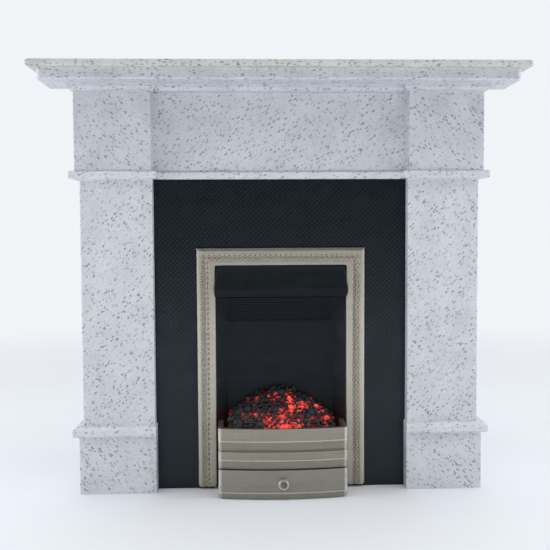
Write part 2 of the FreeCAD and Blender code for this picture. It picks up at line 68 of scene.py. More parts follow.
# ---------------------------------------------------------------- node helper
class Mat:
    """One procedural material, built on object coordinates in millimetres."""

    def __init__(self, name, metallic=0.0, spec=0.5, coat=0.0):
        self.m = bpy.data.materials.new(name)
        self.m.use_nodes = True
        self.t = self.m.node_tree
        self.b = self.t.nodes["Principled BSDF"]
        self.b.inputs["Metallic"].default_value = metallic
        self.b.inputs["Specular IOR Level"].default_value = spec
        self.b.inputs["Coat Weight"].default_value = coat
        tc = self.n("ShaderNodeTexCoord")
        self.obj = self.mapping(tc.outputs["Object"], scale=(1000, 1000, 1000))

    def n(self, kind, **kw):
        node = self.t.nodes.new(kind)
        for k, v in kw.items():
            setattr(node, k, v)
        return node

    def link(self, a, b):
        self.t.links.new(a, b)

    def put(self, socket, value):
        if isinstance(value, (int, float, tuple, list)):
            socket.default_value = value
        else:
            self.link(value, socket)

    def mapping(self, vec, scale=(1, 1, 1), rot=(0, 0, 0), loc=(0, 0, 0)):
        k = self.n("ShaderNodeMapping")
        self.link(vec, k.inputs["Vector"])
        k.inputs["Scale"].default_value = scale
        k.inputs["Rotation"].default_value = rot
        k.inputs["Location"].default_value = loc
        return k.outputs["Vector"]

    def noise(self, vec, scale, detail=3.0, rough=0.5, dist=0.0):
        k = self.n("ShaderNodeTexNoise")
        self.link(vec, k.inputs["Vector"])
        k.inputs["Scale"].default_value = scale
        k.inputs["Detail"].default_value = detail
        k.inputs["Roughness"].default_value = rough
        k.inputs["Distortion"].default_value = dist
        return k.outputs["Fac"]

    def voronoi(self, vec, scale=1.0, feature="F1", rand=1.0):
        k = self.n("ShaderNodeTexVoronoi", feature=feature)
        self.link(vec, k.inputs["Vector"])
        k.inputs["Scale"].default_value = scale
        k.inputs["Randomness"].default_value = rand
        return k

    def wave(self, vec, scale, dist=0.0, detail=0.0, dscale=1.0, axis="Z", profile="SIN"):
        k = self.n("ShaderNodeTexWave", wave_type="BANDS", bands_direction=axis, wave_profile=profile)
        self.link(vec, k.inputs["Vector"])
        k.inputs["Scale"].default_value = scale
        k.inputs["Distortion"].default_value = dist
        k.inputs["Detail"].default_value = detail
        k.inputs["Detail Scale"].default_value = dscale
        return k.outputs["Fac"]

    def math(self, op, a, b=0.0, clamp=False):
        k = self.n("ShaderNodeMath", operation=op)
        k.use_clamp = clamp
        self.put(k.inputs[0], a)
        self.put(k.inputs[1], b)
        return k.outputs[0]

    def range(self, v, a, b, c=0.0, d=1.0, smooth=False):
        k = self.n("ShaderNodeMapRange")
        k.interpolation_type = "SMOOTHSTEP" if smooth else "LINEAR"
        self.put(k.inputs["Value"], v)
        for s, x in (("From Min", a), ("From Max", b), ("To Min", c), ("To Max", d)):
            self.put(k.inputs[s], x)
        return k.outputs["Result"]

    def mix(self, f, a, b):
        k = self.n("ShaderNodeMix", data_type="RGBA")
        self.put(k.inputs[0], f)
        self.put(k.inputs[6], a if not isinstance(a, tuple) else (*a, 1))
        self.put(k.inputs[7], b if not isinstance(b, tuple) else (*b, 1))
        return k.outputs[2]

    def bump(self, height, dist_mm, strength=1.0, normal=None):
        k = self.n("ShaderNodeBump")
        k.inputs["Strength"].default_value = strength
        k.inputs["Distance"].default_value = dist_mm * MM
        self.link(height, k.inputs["Height"])
        if normal is not None:
            self.link(normal, k.inputs["Normal"])
        return k.outputs["Normal"]

    def edges(self, radius_mm):
        """0 on open faces, rising to about 1 on edges and corners, convex and concave alike."""
        bv = self.n("ShaderNodeBevel", samples=4)
        bv.inputs["Radius"].default_value = radius_mm * MM
        ge = self.n("ShaderNodeNewGeometry")
        dt = self.n("ShaderNodeVectorMath", operation="DOT_PRODUCT")
        self.link(bv.outputs["Normal"], dt.inputs[0])
        self.link(ge.outputs["Normal"], dt.inputs[1])
        return self.range(dt.outputs["Value"], 0.995, 0.80, 0.0, 1.0)

    def done(self, colour, rough, normal=None):
        self.put(self.b.inputs["Base Color"], colour if not isinstance(colour, tuple) else (*colour, 1))
        self.put(self.b.inputs["Roughness"], rough)
        if normal is not None:
            self.link(normal, self.b.inputs["Normal"])
        return self.m


def srgb(r, g, b):
    f = lambda c: c / 255 / 12.92 if c <= 10 else ((c / 255 + 0.055) / 1.055) ** 2.4
    return (f(r), f(g), f(b))


# ---------------------------------------------------------------- materials
def specks(mt, vec, sx, sy, sz, r0, r1, keep, seed):
    """Mask of flattened flecks, stretched along the first axis of vec."""
    v = mt.mapping(vec, scale=(sx, sy, sz), loc=(seed, seed * 1.7, seed * 0.3))
    vo = mt.voronoi(v)
    sep = mt.n("ShaderNodeSeparateColor")
    mt.link(vo.outputs["Color"], sep.inputs["Color"])
    rad = mt.range(sep.outputs[0], keep, 1.0, r0, r1)
    on = mt.range(sep.outputs[0], keep - 0.01, keep + 0.01)
    wob = mt.noise(vec, 3.2, 1.0)
    dist = mt.math("ADD", vo.outputs["Distance"], mt.range(wob, 0.2, 0.8, -0.09, 0.09))
    edge = mt.math("DIVIDE", dist, rad)
    spot = mt.range(edge, 0.72, 1.08, 1.0, 0.0, smooth=True)
    return mt.math("MULTIPLY", spot, on, clamp=True)


def marble(name, ang, base, dark, lines="raster", seed=0.0, many=1.0, warm=0.0):
    """Speckled grey-white printed stone. ang turns the print's raster in the front plane."""
    mt = Mat(name, spec=0.42)
    turned = mt.mapping(mt.obj, rot=(0, math.radians(ang), 0))
    cloud = mt.noise(mt.mapping(mt.obj, loc=(seed * 3, 0, seed)), 0.16, 3.0, 0.6)
    fine = mt.noise(turned, 2.2, 3.0, 0.65)
    streak = mt.noise(mt.mapping(turned, scale=(0.22, 1.0, 1.9)), 1.3, 2.0, 0.5)
    s1 = specks(mt, turned, 0.80, 1.0, 1.75, 0.20, 0.42, 1 - 0.72 * many, seed + 3)
    s2 = specks(mt, turned, 0.70, 0.8, 1.45, 0.18, 0.34, 1 - 0.50 * many, seed + 11)
    s3 = specks(mt, turned, 1.3, 1.6, 2.7, 0.20, 0.42, 1 - 0.70 * many, seed + 23)
    crowd = mt.range(mt.noise(mt.mapping(mt.obj, loc=(9 + seed, 4, 2)), 0.30, 2.0), 0.30, 0.60, 0.30, 1.0)
    light = tuple(min(1.0, c * 1.075) for c in base)
    deep = tuple(c * 0.90 for c in base)
    col = mt.mix(mt.range(cloud, 0.3, 0.7), deep, light)
    col = mt.mix(mt.range(fine, 0.35, 0.75, 0.0, 0.34), col, tuple(c * 0.86 for c in base))
    col = mt.mix(mt.range(streak, 0.5, 0.8, 0.0, 0.4), col, tuple(c * 0.8 for c in base))
    col = mt.mix(mt.math("MULTIPLY", s3, 0.50), col, tuple(c * 0.45 + d * 0.55 for c, d in zip(base, dark)))
    col = mt.mix(mt.math("MULTIPLY", mt.math("MULTIPLY", s1, crowd), 0.80), col, dark)
    col = mt.mix(mt.math("MULTIPLY", mt.math("MULTIPLY", s2, crowd), 0.72), col, tuple(d * 0.80 for d in dark))
    if warm:
        w = specks(mt, turned, 0.7, 0.9, 1.5, 0.2, 0.36, 0.72, seed + 41)
        col = mt.mix(mt.math("MULTIPLY", w, warm), col, srgb(150, 138, 118))
    if lines == "raster":
        ln = mt.wave(turned, 0.52, 1.2, 2.0, 0.8, axis="Z")
        part_of = mt.range(mt.noise(mt.mapping(mt.obj, loc=(seed, 7, 5)), 0.12, 2.0), 0.40, 0.66, 0.0, 0.5)
        col = mt.mix(mt.math("MULTIPLY", part_of, mt.range(ln, 0.1, 0.9, 0.0, 0.7)), col,
                     tuple(c * 0.74 for c in base))
        nb = mt.bump(ln, 0.03, 0.8)
    else:
        ln = mt.noise(mt.mapping(mt.obj, scale=(0.02, 0.02, 5.5)), 1.0, 2.0, 0.7)
        nb = mt.bump(ln, 0.05, 0.8)
        col = mt.mix(mt.range(ln, 0.50, 0.72, 0.0, 0.30), col, tuple(c * 0.7 for c in base))
    nb = mt.bump(mt.noise(mt.obj, 5.0, 3.0, 0.7), 0.035, 0.5, nb)
    # lighter along edges and corners: partly rubbed wear, partly a painted edge highlight
    rub_and_highlight = mt.math("MULTIPLY", mt.edges(0.32), mt.range(fine, 0.25, 0.7, 0.35, 0.85))
    col = mt.mix(rub_and_highlight, col, tuple(min(1.0, c * 1.30) for c in base))
    return mt.done(col, mt.range(fine, 0.3, 0.8, 0.42, 0.58), nb)


KNOB_Z = 3.93
M_BASE = srgb(210, 213, 219)
M_DARK = srgb(112, 116, 126)
# darker copy of the marble on the capitals: painted shade under the cornice
marble_cap_painted_shade = marble("marble_capital_painted_shade", -45, srgb(204, 207, 213), M_DARK, seed=1)
marble_frieze = marble("marble_frieze", 45, M_BASE, M_DARK, seed=5)
marble_shaft = marble("marble_shaft", 45, M_BASE, M_DARK, seed=9)
marble_shaft_r = marble("marble_shaft_b", 45, M_BASE, M_DARK, seed=31)
marble_plinth = marble("marble_plinth", -45, M_BASE, M_DARK, seed=14)
# lighter copy of the marble on the astragals and plinth caps: painted light
marble_edge_painted_light = marble("marble_moulding_painted_light", 8, srgb(214, 217, 223), M_DARK, seed=20, many=0.85)
# darker copies on the bed mould and fascia: painted shade under the shelf's overhang
marble_bed_painted_shade = marble("marble_bed_mould_painted_shade", 8, srgb(201, 204, 210), M_DARK, seed=20, many=0.85)
marble_fascia_painted_shade = marble("marble_fascia_painted_shade", 8, srgb(206, 209, 215), M_DARK, seed=52, many=0.85)
marble_slab = marble("marble_slab", 4, srgb(204, 204, 202), srgb(120, 114, 104), "layers", seed=27, warm=0.75)


def black(name, base, rough, spec, ang=None, pitch=0.42, tint=(0.80, 0.92, 1.0), dust=0.5,
          foot=None):
    """Black printed plastic: raster weave or layer lines, dust flecks, and with foot a painted light that
    brightens it towards the bottom.
    """
    mt = Mat(name, spec=spec)
    mt.b.inputs["Specular Tint"].default_value = (*tint, 1)
    if ang is None:
        ln = mt.noise(mt.mapping(mt.obj, scale=(0.03, 0.03, 5.0)), 1.0, 2.0, 0.6)
        nb = mt.bump(ln, 0.05, 0.9)
        tone = mt.range(ln, 0.35, 0.7)
    else:
        t1 = mt.mapping(mt.obj, rot=(0, math.radians(ang), 0))
        t2 = mt.mapping(mt.obj, rot=(0, math.radians(-ang), 0))
        w1 = mt.wave(t1, 0.314 / pitch * 0.5, 0.3, 1.0, 1.0, axis="Z")
        w2 = mt.wave(t2, 0.314 / pitch * 0.5, 0.3, 1.0, 1.0, axis="Z")
        ln = mt.math("ADD", w1, mt.math("MULTIPLY", w2, 0.6))
        nb = mt.bump(ln, 0.02, 0.9)
        tone = mt.range(ln, 0.2, 1.4)
    cloud = mt.noise(mt.obj, 0.25, 3.0, 0.6)
    col = mt.mix(tone, tuple(c * 0.75 for c in base), tuple(c * 1.35 for c in base))
    col = mt.mix(mt.range(cloud, 0.4, 0.8, 0.0, 0.5), col, tuple(c * 1.6 for c in base))
    # painted light: lighter towards the bottom, standing in for light bounced up from the floor
    if foot:
        sp_ = mt.n("ShaderNodeSeparateXYZ")
        mt.link(mt.obj, sp_.inputs[0])
        col = mt.mix(mt.range(sp_.outputs[2], 42.0, 4.0, 0.0, 0.85, smooth=True), col, foot)
    d = specks(mt, mt.obj, 0.8, 0.8, 0.8, 0.05, 0.12, 0.86, 7)
    col = mt.mix(mt.math("MULTIPLY", d, dust), col, tuple(min(1, c * 6 + 0.02) for c in base))
    nb = mt.bump(mt.noise(mt.obj, 6.0, 2.0, 0.7), 0.02, 0.5, nb)
    return mt.done(col, mt.range(cloud, 0.3, 0.7, rough - 0.06, rough + 0.08), nb)


panel_mat = black("panel_black", (0.0026, 0.0042, 0.0056), 0.38, 0.31, ang=45, pitch=0.42,
                  tint=(0.72, 0.87, 1.0), foot=(0.0120, 0.0150, 0.0185))
firebox_mat = black("firebox_black", (0.0066, 0.0092, 0.0120), 0.46, 0.20)
# lighter copy of the firebox black on the cheeks: painted light
cheek_painted_light_mat = black("cheek_black_painted_light", (0.013, 0.018, 0.022), 0.36, 0.55)
hood_mat = black("hood_black", (0.0056, 0.0078, 0.0094), 0.42, 0.18)
rear_mat = black("rear_black", (0.013, 0.013, 0.014), 0.5, 0.4, ang=45, pitch=0.5)


def nickel(name, light, dark, rough, lines=0.05, seed=0.0, metal=0.82, chased=False, wear_and_highlight_z=(), corner_wear_and_highlight=0.0,
           dish_highlight_and_shade=False):
    """Silk nickel print: fine layer lines, scuffs, soft reflections."""
    mt = Mat(name, metallic=metal, spec=0.5)
    v = mt.mapping(mt.obj, scale=(0.03, 0.03, 1.0), loc=(seed, seed, seed))
    broad = mt.noise(v, 1.9, 2.0, 0.6)
    fine = mt.noise(v, 7.5, 2.0, 0.7)
    cloud = mt.noise(mt.obj, 0.5, 4.0, 0.65)
    grit = mt.noise(mt.obj, 6.0, 2.0, 0.7)
    col = mt.mix(mt.range(cloud, 0.3, 0.75), light, tuple(a * 0.72 + b * 0.28 for a, b in zip(light, dark)))
    col = mt.mix(mt.range(broad, 0.5, 0.78, 0.0, 0.55), col, dark)
    col = mt.mix(mt.range(grit, 0.55, 0.8, 0.0, 0.35), col, tuple(c * 0.7 for c in dark))
    sc = specks(mt, mt.obj, 0.5, 0.5, 0.7, 0.05, 0.10, 0.8, seed + 5)
    col = mt.mix(mt.math("MULTIPLY", sc, 0.5), col, tuple(min(1, c * 1.5) for c in light))
    nb = mt.bump(fine, lines * 0.5, 0.9)
    nb = mt.bump(broad, lines, 0.8, nb)
    nb = mt.bump(grit, 0.02, 0.5, nb)
    # lighter along edges and corners: partly rubbed wear, partly a painted edge highlight
    rub_and_highlight = mt.math("MULTIPLY", mt.edges(0.20), mt.range(cloud, 0.3, 0.7, 0.4, 0.9))
    col = mt.mix(rub_and_highlight, col, tuple(min(1.0, c * 1.45) for c in light))
    if chased:
        # painted shade: the chasing's recesses darken with their depth
        at = mt.n("ShaderNodeAttribute", attribute_name="deep")
        col = mt.mix(mt.range(at.outputs["Fac"], 0.22, 0.95, 0.0, 0.72), col, tuple(c * 0.40 for c in dark))
        # painted highlight on the frame's lit edges, painted shade where the value is negative
        ar = mt.n("ShaderNodeAttribute", attribute_name="rim_light_and_shade")
        col = mt.mix(mt.range(ar.outputs["Fac"], 0.0, 1.0, 0.0, 0.55), col, srgb(190, 190, 182))
        col = mt.mix(mt.range(ar.outputs["Fac"], 0.0, -1.0, 0.0, 0.9), col, srgb(112, 110, 104))
    if wear_and_highlight_z or corner_wear_and_highlight or dish_highlight_and_shade:
        sp_ = mt.n("ShaderNodeSeparateXYZ")
        mt.link(mt.obj, sp_.inputs[0])
    if dish_highlight_and_shade:
        def radius(cx):
            dx = mt.math("SUBTRACT", sp_.outputs[0], cx)
            dz = mt.math("SUBTRACT", sp_.outputs[2], KNOB_Z)
            return mt.math("SQRT", mt.math("ADD", mt.math("MULTIPLY", dx, dx), mt.math("MULTIPLY", dz, dz)))
        # painted highlight: a pale crescent round the knob's edge, left of centre
        col = mt.mix(mt.range(radius(-0.10), 0.70, 1.0, 0.0, 0.80, smooth=True), col, srgb(198, 196, 188))
        # painted shade: a darker disc in the knob's hollow, offset to the right
        col = mt.mix(mt.range(radius(0.22), 0.82, 0.60, 0.0, 0.75, smooth=True), col, srgb(92, 90, 84))
    if wear_and_highlight_z or corner_wear_and_highlight:
        ragged = mt.range(mt.noise(mt.mapping(mt.obj, scale=(1, 1, 0.4)), 1.6, 3.0), 0.25, 0.6, 0.55, 1.0)
        # light lines at these heights on the front: partly wear, partly a painted highlight on the edges
        for zb in wear_and_highlight_z:
            off = mt.math("ABSOLUTE", mt.math("SUBTRACT", sp_.outputs[2], zb))
            ln_ = mt.math("MULTIPLY", mt.range(off, 0.07, 0.17, 0.68, 0.0), ragged)
            ln_ = mt.math("MULTIPLY", ln_, mt.range(sp_.outputs[1], -4.0, -5.0))
            col = mt.mix(ln_, col, srgb(214, 212, 202))
        # light strips down the front corners: partly wear, partly a painted highlight on the rounded corners
        if corner_wear_and_highlight:
            ex = mt.range(mt.math("ABSOLUTE", sp_.outputs[0]), 14.35, 14.95, 0.0, corner_wear_and_highlight)
            ex = mt.math("MULTIPLY", ex, mt.range(sp_.outputs[1], -4.2, -5.2))
            col = mt.mix(mt.math("MULTIPLY", ex, ragged), col, srgb(218, 217, 210))
    return mt.done(col, mt.range(fine, 0.3, 0.7, rough - 0.06, rough + 0.08), nb)


nickel_frame = nickel("nickel_frame", srgb(167, 162, 150), srgb(149, 143, 131), 0.40, 0.004, 3, chased=True)
nickel_basket = nickel("nickel_basket", srgb(147, 142, 131), srgb(121, 116, 106), 0.38, 0.045, 8,
                       wear_and_highlight_z=(13.86, 9.36), corner_wear_and_highlight=0.75)
nickel_drawer = nickel("nickel_drawer", srgb(144, 140, 131), srgb(119, 116, 107), 0.38, 0.025, 15,
                       wear_and_highlight_z=(1.64,), corner_wear_and_highlight=0.75)
nickel_knob = nickel("nickel_knob", srgb(150, 147, 138), srgb(128, 125, 117), 0.30, 0.004, 21, dish_highlight_and_shade=True)


def metal(name, col, rough, brushed=(1, 1, 1), seed=0.0):
    mt = Mat(name, metallic=1.0)
    g = mt.noise(mt.mapping(mt.obj, scale=brushed, loc=(seed, 0, 0)), 3.0, 3.0, 0.7)
    c = mt.noise(mt.obj, 0.6, 3.0)
    cc = mt.mix(mt.range(g, 0.3, 0.75), col, tuple(x * 0.72 for x in col))
    cc = mt.mix(mt.range(c, 0.5, 0.8, 0.0, 0.35), cc, tuple(x * 0.6 for x in col))
    return mt.done(cc, mt.range(g, 0.3, 0.7, rough - 0.07, rough + 0.1), mt.bump(g, 0.012, 0.8))


def plastic(name, col, rough, grain=4.0, amp=0.03):
    mt = Mat(name, spec=0.5)
    g = mt.noise(mt.obj, grain, 3.0, 0.65)
    c = mt.noise(mt.obj, 0.7, 3.0)
    cc = mt.mix(mt.range(c, 0.3, 0.75), col, tuple(x * 0.78 for x in col))
    cc = mt.mix(mt.range(g, 0.55, 0.8, 0.0, 0.3), cc, tuple(min(1, x * 1.4 + 0.01) for x in col))
    return mt.done(cc, mt.range(g, 0.3, 0.7, rough - 0.06, rough + 0.1), mt.bump(g, amp, 0.7))


steel_cell = metal("cell_steel", (0.56, 0.56, 0.55), 0.26, (1, 1, 6), 2)
steel_screw = metal("screw_steel", (0.30, 0.30, 0.31), 0.34, (4, 1, 1), 5)
steel_switch = metal("switch_steel", (0.52, 0.52, 0.50), 0.34, (6, 1, 1), 8)
brass_contact = metal("contact_metal", (0.66, 0.55, 0.33), 0.3, (1, 5, 1), 11)
board_mat = plastic("board_green", srgb(34, 92, 58), 0.38, 3.0)
red_lead = plastic("lead_red", srgb(168, 26, 26), 0.42, 5.0, 0.015)
black_lead = plastic("lead_black", srgb(22, 22, 24), 0.42, 5.0, 0.015)
resistor_mat = plastic("resistor_body", srgb(188, 160, 118), 0.45, 5.0, 0.02)
slider_mat = plastic("slider_black", srgb(26, 26, 28), 0.4, 6.0, 0.03)

led_mt = Mat("led_lens", spec=0.5)
lg = led_mt.noise(led_mt.obj, 1.5, 2.0)
led_mat = led_mt.done(led_mt.mix(led_mt.range(lg, 0.3, 0.7), srgb(232, 60, 40), srgb(255, 120, 84)),
                      led_mt.range(lg, 0.3, 0.7, 0.14, 0.24), led_mt.bump(lg, 0.02, 0.4))
led_mt.b.inputs["Emission Color"].default_value = (1.0, 0.12, 0.05, 1)
led_mt.b.inputs["Emission Strength"].default_value = 4.0

# charred crust with grey-green painted highlights, darker towards the top of the mound
mt = Mat("coal", spec=0.35)
g1 = mt.noise(mt.obj, 1.1, 4.0, 0.7)
g2 = mt.noise(mt.obj, 4.5, 3.0, 0.7)
cc = mt.mix(mt.range(g1, 0.35, 0.7), srgb(22, 25, 27), srgb(52, 58, 60))
# painted highlight: grey-green patches standing in for glints on the coals
cc = mt.mix(mt.range(g2, 0.54, 0.72, 0.0, 0.85), cc, srgb(108, 120, 120))
sz_ = mt.n("ShaderNodeSeparateXYZ")
mt.link(mt.obj, sz_.inputs[0])
# darker towards the top of the mound, above 18.5 mm
cc = mt.mix(mt.range(sz_.outputs[2], 18.5, 23.0, 0.0, 0.75, smooth=True), cc, srgb(15, 17, 18))
coal_mat = mt.done(cc, mt.range(g2, 0.3, 0.7, 0.45, 0.75), mt.bump(g2, 0.12, 0.9))

# glowing bed: dull red skin, brighter where the attribute "glow" is high
mt = Mat("ember", spec=0.4)
at = mt.n("ShaderNodeAttribute", attribute_name="glow")
g1 = mt.noise(mt.obj, 0.9, 3.0, 0.6)
g2 = mt.noise(mt.obj, 3.0, 2.0, 0.6)
heat = mt.math("MULTIPLY", at.outputs["Fac"], mt.range(g1, 0.28, 0.66, 0.35, 1.15))
hot = mt.math("MULTIPLY", heat, mt.range(g2, 0.3, 0.7, 0.6, 1.15), clamp=True)
cc = mt.mix(hot, srgb(48, 10, 14), srgb(214, 44, 44))
em = mt.mix(mt.range(hot, 0.10, 0.75), (0.26, 0.005, 0.012), (1.0, 0.100, 0.072))
mt.link(em, mt.b.inputs["Emission Color"])
mt.link(mt.range(hot, 0.04, 0.6, 0.14, 1.20), mt.b.inputs["Emission Strength"])
ember_mat = mt.done(cc, mt.range(g2, 0.3, 0.7, 0.30, 0.5), mt.bump(g2, 0.10, 0.8))


def dress(mat, *names):
    for nm in names:
        o = NODES[nm]
        if not o.material_slots:
            o.data.materials.append(mat)
        for s in o.material_slots:
            s.material = mat


dress(marble_slab, "shelf_slab")
dress(marble_fascia_painted_shade, "cornice_fascia", "rear_top_rail")
dress(marble_bed_painted_shade, "left_bed_mould", "centre_bed_mould", "right_bed_mould")
dress(marble_edge_painted_light, "left_astragal", "centre_astragal", "right_astragal", "left_plinth_cap", "right_plinth_cap")
dress(marble_cap_painted_shade, "left_capital_block", "right_capital_block")
dress(marble_frieze, "frieze_panel")
dress(marble_shaft, "left_pilaster_shaft")
dress(marble_shaft_r, "right_pilaster_shaft")
dress(marble_plinth, "left_plinth_block", "right_plinth_block")
dress(panel_mat, "back_panel")
dress(nickel_frame, "trim_frame")
dress(nickel_basket, "fire_basket")
dress(nickel_drawer, "ash_drawer")
dress(nickel_knob, "ash_drawer_knob")
dress(hood_mat, "fire_hood")
dress(cheek_painted_light_mat, "firebox_left_cheek", "firebox_right_cheek")
dress(firebox_mat, "fireback")
dress(coal_mat, "coal_bed")
dress(ember_mat, "ember_bed")
dress(board_mat, "led_board")
dress(led_mat, "left_led", "right_led")
dress(resistor_mat, "led_resistor")
dress(red_lead, "lead_positive", "lead_switch")
dress(black_lead, "lead_negative")
dress(rear_mat, "rear_cover", "battery_door", "battery_holder")
dress(slider_mat, "switch_slider")
dress(steel_cell, "coin_cell")
dress(brass_contact, "contact_minus", "contact_plus")
dress(steel_switch, "switch_body")
dress(steel_screw, "cover_screws")


# ---------------------------------------------------------------- mesh helpers
def mesh_object(name, verts, faces, mat, body, smooth=True):
    me = bpy.data.meshes.new(name)
    me.from_pydata([tuple(v) for v in verts], [], [tuple(f) for f in faces])
    me.validate()
    o = bpy.data.objects.new(name, me)
    bpy.context.scene.collection.objects.link(o)
    me.materials.append(mat)
    if smooth:
        me.polygons.foreach_set("use_smooth", [True] * len(me.polygons))
    me.update()
    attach(o, body)
    return o


def y_of(q):
    return FACE - q


# ---------------------------------------------------------------- trim frame with its chased band
FW, FI, FZ0, FZ1, FZI, FT = 20.39, 15.90, 0.60, 59.146, 54.858, 1.25
RF = 0.70


def near(t):
    return abs(t - round(t))


def lattice(s, w, w0, hw, pitch, phase=0.0):
    """Crossed raised lines; 0 on a line, 1 inside a diamond, and the distance from the diamond's centre."""
    u, v = s / pitch + phase, (w - w0) / hw
    m = min(near(u + v / 2), near(u - v / 2))
    inside = min(1.0, max(0.0, (m - 0.05) / 0.13))
    cu = near(u + 0.5)
    return inside, math.hypot(cu * pitch, w - w0)


def dot(s, w, w0, pitch, r, phase=0.0):
    d = math.hypot(w - w0, near(s / pitch + phase) * pitch)
    return max(0.0, 1 - (d / r) ** 2)


def frame_height(x, z):
    """Height of the frame's face, how deep the chasing is there (0 to 1) and how much painted highlight
    (positive) and painted shade (negative) its edge band gets.
    """
    ax = abs(x)
    wl, wt = FW - ax, FZ1 - z
    wb = z - FZ0
    top = wt < wl and ax < FW + 1
    w = wt if top else wl
    h = FT
    if (not top and ax < FI - 0.001) and z < FZI:
        return None, 0.0, 0.0
    if top:
        if w < 0.5:
            h -= (0.5 - w) * 0.9
    else:
        if w < 0.18:
            h -= 0.18 - w
    if wb < 0.15:
        h -= 0.15 - wb
    s = x if top else z
    p = 1.24
    d = 0.0
    wear = 0.5 + 0.5 * noise.noise(Vector((x * 0.35, 3.1, z * 0.35)))
    hatch = 0.30 * min(1.0, max(0.0, 0.5 + 1.8 * noise.noise(Vector((x * 0.09, 9.0, z * 0.09)))))
    if top:
        if 2.00 <= w <= 2.62:
            k, r = lattice(s, w, 2.31, 0.31, p, 0.5)
            d = 0.75 * k + 0.5 * max(0.0, 1 - r / 0.28)
        if 2.62 < w <= 3.20:
            k, r = lattice(s, w, 2.91, 0.29, p)
            d = 0.62 * k
        if 2.00 <= w <= 3.20:
            d = max(d, hatch * 1.6 * (1 - min(1.0, 3.2 * near((s - w) / 0.62))))
        d = max(d, dot(s, w, 1.70, p, 0.25))
    elif x < 0:
        if 1.24 <= w <= 2.26:
            k, r = lattice(s, w, 1.52, 0.28, p, 0.25)
            k2, r2 = lattice(s, w, 2.03, 0.27, p, 0.75)
            d = 0.85 * (k if w < 1.78 else k2)
            d = max(d, 0.45 + hatch * 1.8 * (1 - min(1.0, 3.2 * near((s - w) / 0.62))))
            if min(near(s / p - w / 2.2), 9) < 0.06:
                d *= 0.55
        if 2.36 <= w <= 3.04:
            k, r = lattice(s, w, 2.70, 0.34, p, 0.5)
            d = max(d, 0.40 * (1 - k))
        d = max(d, dot(s, w, 2.70, p, 0.27))
        d = max(d, 0.55 * (1 - dot(s, w, 1.04, 0.62, 0.24)) * max(0.0, 1 - abs(w - 1.04) / 0.20))
    else:
        if 1.20 <= w <= 2.04:
            k, r = lattice(s, w, 1.62, 0.42, p)
            d = 0.50 * (1 - k) + 0.15
            d = max(d, dot(s, w, 1.62, p, 0.25, 0.0))
        if 2.04 < w <= 2.96:
            k, r = lattice(s, w, 2.50, 0.46, p, 0.5)
            d = 0.95 * k
            d = max(d, 0.30 + hatch * 2.0 * (1 - min(1.0, 3.2 * near((s - w) / 0.62))))
    d = min(1.0, d) * (0.72 + 0.28 * wear)
    # painted highlight on the legs' outer band and inner edges, painted shade on the top rail's outer edge
    rim_light_and_shade = 0.0
    if not top:
        if w < 0.72:
            rim_light_and_shade = 0.8
        elif w > 3.50:
            rim_light_and_shade = 0.10 if x > 0 else 0.0
    elif w > 3.60:
        rim_light_and_shade = 0.25
    elif w < 0.70:
        rim_light_and_shade = -1.0
    return h - 0.30 * d, d, rim_light_and_shade


def spaced(a, b, step):
    n = max(1, int(round((b - a) / step)))
    return [a + (b - a) * i / n for i in range(n)]


